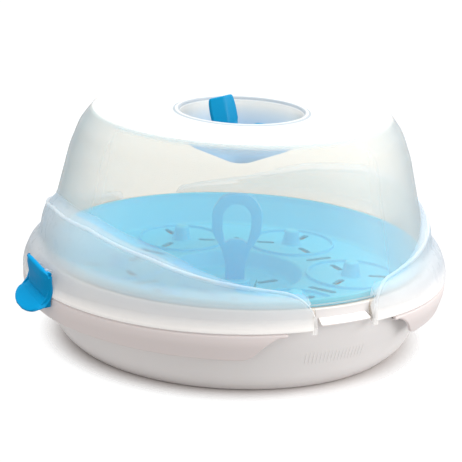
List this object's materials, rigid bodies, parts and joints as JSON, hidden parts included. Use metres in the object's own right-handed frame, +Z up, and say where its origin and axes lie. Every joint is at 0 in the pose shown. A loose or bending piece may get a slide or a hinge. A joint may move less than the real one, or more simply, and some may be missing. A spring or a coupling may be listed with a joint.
{
  "type": "microwave sterilizer",
  "caption": "Round microwave steam sterilizer for baby bottles: white water bowl with side grips, blue rack with lift handle, clear domed lid with blue side clips, tongs in its top well.",
  "frame": {"origin": "bottom centre of the object, on the surface it stands on", "axes": "+X through the two side clips, -Y the front where the lid's wings part, +Z up"},
  "size_m": [0.312, 0.2676, 0.1578],
  "materials": {
    "white_base": "satin moulded polypropylene",
    "clear_lid": "clear frosted polypropylene",
    "rack_blue": "tinted polypropylene",
    "clip_blue": "satin moulded"
  },
  "bodies": {
    "base": {"base_bowl": "white_base"},
    "rack": {"rack_tray": "rack_blue", "rack_lift_handle": "rack_blue"},
    "lid": {"lid": "clear_lid"},
    "clip_left": {"clip_left": "clip_blue"},
    "clip_right": {"clip_right": "clip_blue"},
    "tongs": {"tongs_bow": "clip_blue"},
    "tongs_back": {"tongs_arm_back": "clip_blue"},
    "tongs_front": {"tongs_arm_front": "clip_blue"}
  },
  "joints": [
    {"name": "lid_lift", "type": "slide", "parent": "base", "child": "lid", "axis": [0, 0, 1], "range_m": [0, 0.24]},
    {"name": "rack_lift", "type": "slide", "parent": "base", "child": "rack", "axis": [0, 0, 1], "range_m": [0, 0.09]},
    {"name": "clip_left_hinge", "type": "hinge", "parent": "lid", "child": "clip_left", "pos_m": [-0.1407, 0, 0.0606], "axis": [0, 1, 0], "range_deg": [0, 35]},
    {"name": "clip_right_hinge", "type": "hinge", "parent": "lid", "child": "clip_right", "pos_m": [0.1407, 0, 0.0606], "axis": [0, -1, 0], "range_deg": [0, 35]},
    {"name": "tongs_lift", "type": "slide", "parent": "lid", "child": "tongs", "axis": [0, 0, 1], "range_m": [0, 0.06]},
    {"name": "tongs_back_squeeze", "type": "hinge", "parent": "tongs", "child": "tongs_back", "pos_m": [-0.00264, 0.01132, 0.13284], "axis": [0.9925, 0, 0.1219], "range_deg": [0, 50], "stiffness_Nm_per_rad": 0.02},
    {"name": "tongs_front_squeeze", "type": "hinge", "parent": "tongs", "child": "tongs_front", "pos_m": [-0.00205, -0.01162, 0.12799], "axis": [-0.9925, 0, -0.1219], "range_deg": [0, 50], "stiffness_Nm_per_rad": 0.02}
  ],
  "couplings": [
    {"joint": "rack_lift", "follows": "lid_lift", "ratio": 0.375},
    {"joint": "tongs_front_squeeze", "follows": "tongs_back_squeeze", "ratio": 1}
  ]
}
